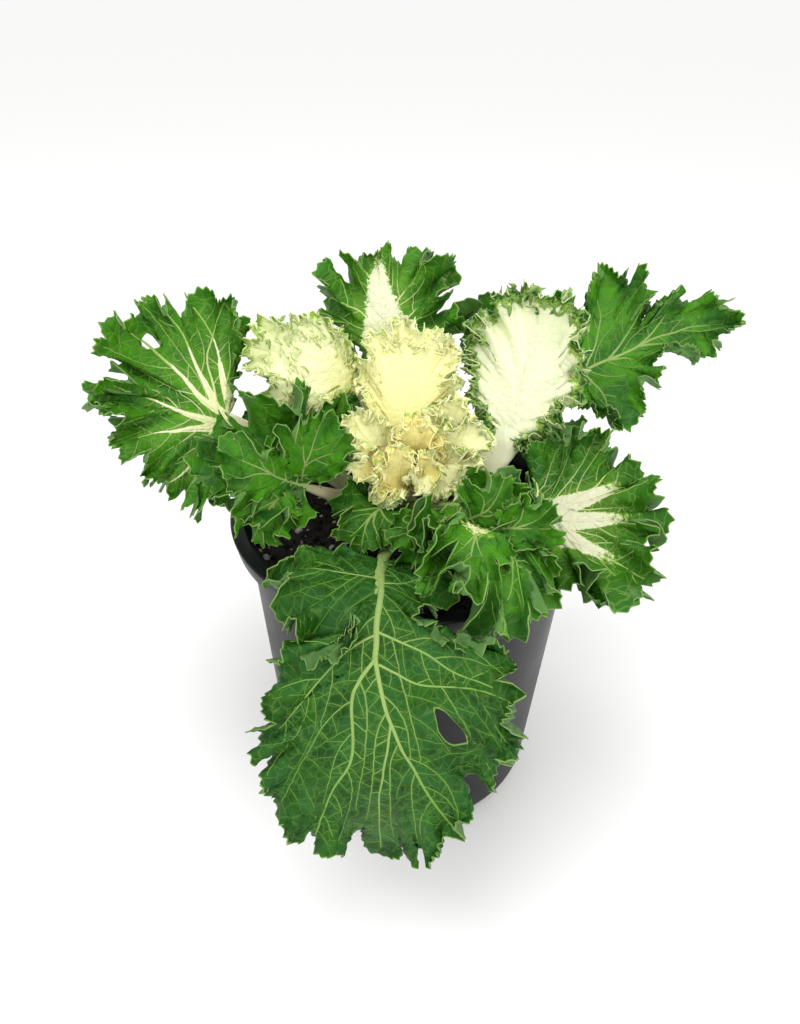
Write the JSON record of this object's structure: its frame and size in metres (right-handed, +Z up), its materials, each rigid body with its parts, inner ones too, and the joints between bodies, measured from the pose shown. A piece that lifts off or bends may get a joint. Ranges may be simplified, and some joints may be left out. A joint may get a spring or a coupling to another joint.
{
  "type": "ornamental kale plant in nursery pot",
  "caption": "Potted ornamental kale: a loose rosette of frilled green leaves round a small cream heart, in a round tapered black nursery pot.",
  "frame": {"origin": "centre of the pot's flat underside", "axes": "+Z up through the pot, -Y towards the leaf that hangs over the rim, +X to the right when seen from -Y"},
  "size_m": [0.2709, 0.2286, 0.2303],
  "materials": {
    "pot_plastic": "black moulded polypropylene, satin, faint vertical flow lines",
    "potting_mix": "moist dark peat and bark mix with white perlite grains, matt",
    "stem_skin": "pale green living stem, waxy",
    "heart_leaf": "cream to pale yellow young leaf, waxy, green flecks on the frilled edge",
    "cream_leaf": "cream leaf blade, waxy, green frilled edge",
    "green_leaf": "green leaf blade with pale veins, waxy"
  },
  "bodies": {
    "root": {"pot": "pot_plastic", "soil": "potting_mix", "stem": "stem_skin", "heart": "heart_leaf", "leaf_front": "green_leaf", "leaf_left": "green_leaf", "leaf_left_front": "green_leaf", "leaf_left_cream": "cream_leaf", "leaf_back": "green_leaf", "leaf_centre_cream": "cream_leaf", "leaf_right_cream": "cream_leaf", "leaf_right_back": "green_leaf", "leaf_far_right": "green_leaf", "leaf_right": "green_leaf", "leaf_front_right": "green_leaf", "leaf_front_small": "green_leaf", "leaf_left_back": "green_leaf", "leaf_low_back": "green_leaf", "leaf_low_left": "green_leaf", "leaf_low_right": "green_leaf"}
  },
  "joints": []
}
